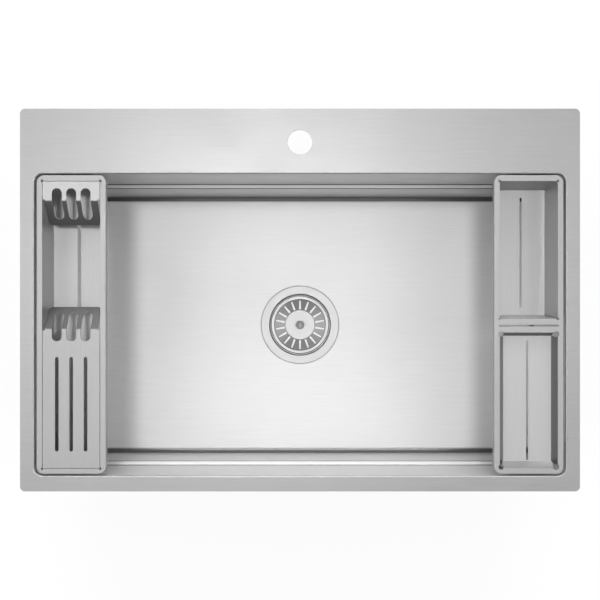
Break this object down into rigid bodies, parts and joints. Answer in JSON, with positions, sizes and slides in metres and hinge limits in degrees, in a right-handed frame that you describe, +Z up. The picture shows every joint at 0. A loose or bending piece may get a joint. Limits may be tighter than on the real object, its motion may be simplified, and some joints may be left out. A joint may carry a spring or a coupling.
{
  "type": "workstation kitchen sink",
  "caption": "Drop-in steel kitchen sink: single bowl with an inner ledge, tap hole at the rear, basket strainer, and caddies that slide along the ledge.",
  "frame": {"origin": "centre of the bowl in the plane of the worktop that the deck's seal lies on", "axes": "+X to the right along the worktop, +Y from the user towards the tap, +Z up"},
  "size_m": [0.79, 0.54, 0.276],
  "materials": {
    "deck_steel": "fine satin grain along the width",
    "bowl_steel": "fine satin grain, grey undercoat outside",
    "caddy_steel": "fine satin grain along the length",
    "strainer_steel": "turned and polished",
    "zinc_steel": "zinc plated",
    "nut_metal": "die cast, dull",
    "black_rubber": "moulded",
    "foam_seal": "soft closed-cell strip",
    "damping_pad": "heavy sound pad with a pebbled face",
    "slip_plastic": "smooth",
    "glide_plastic": "smooth, slippery"
  },
  "bodies": {
    "sink": {"deck_plate": "deck_steel", "bowl_shell": "bowl_steel", "worktop_seal": "foam_seal", "clip_brackets": "zinc_steel", "clip_screws": "zinc_steel", "clip_arms": "zinc_steel", "pad_front": "damping_pad", "pad_rear": "damping_pad", "pad_left": "damping_pad", "pad_right": "damping_pad", "pad_floor_left": "damping_pad", "pad_floor_right": "damping_pad", "strainer_body": "strainer_steel", "flange_gasket": "black_rubber", "rubber_washer": "black_rubber", "slip_ring": "slip_plastic", "locknut": "nut_metal"},
    "basket": {"strainer_basket": "strainer_steel", "basket_seal": "black_rubber", "basket_knob": "strainer_steel"},
    "left_caddy": {"left_frame": "caddy_steel", "left_tray": "caddy_steel", "left_leg_front": "caddy_steel", "left_leg_rear": "caddy_steel", "left_glides": "glide_plastic"},
    "rest_insert": {"rest_plate": "caddy_steel"},
    "knife_insert": {"knife_plate": "caddy_steel"},
    "right_caddy": {"right_frame": "caddy_steel", "deep_tray": "caddy_steel", "shallow_tray": "caddy_steel", "right_leg_front": "caddy_steel", "right_leg_rear": "caddy_steel", "right_glides": "glide_plastic"}
  },
  "joints": [
    {"name": "left_caddy_slide", "type": "slide", "parent": "sink", "child": "left_caddy", "axis": [1, 0, 0], "range_m": [0, 0.27]},
    {"name": "right_caddy_slide", "type": "slide", "parent": "sink", "child": "right_caddy", "axis": [-1, 0, 0], "range_m": [0, 0.27]},
    {"name": "rest_plate_lift", "type": "slide", "parent": "left_caddy", "child": "rest_insert", "axis": [0, 0, 1], "range_m": [0, 0.06]},
    {"name": "knife_plate_lift", "type": "slide", "parent": "left_caddy", "child": "knife_insert", "axis": [0, 0, 1], "range_m": [0, 0.06]},
    {"name": "basket_lift", "type": "slide", "parent": "sink", "child": "basket", "axis": [0, 0, 1], "range_m": [0, 0.06]}
  ]
}
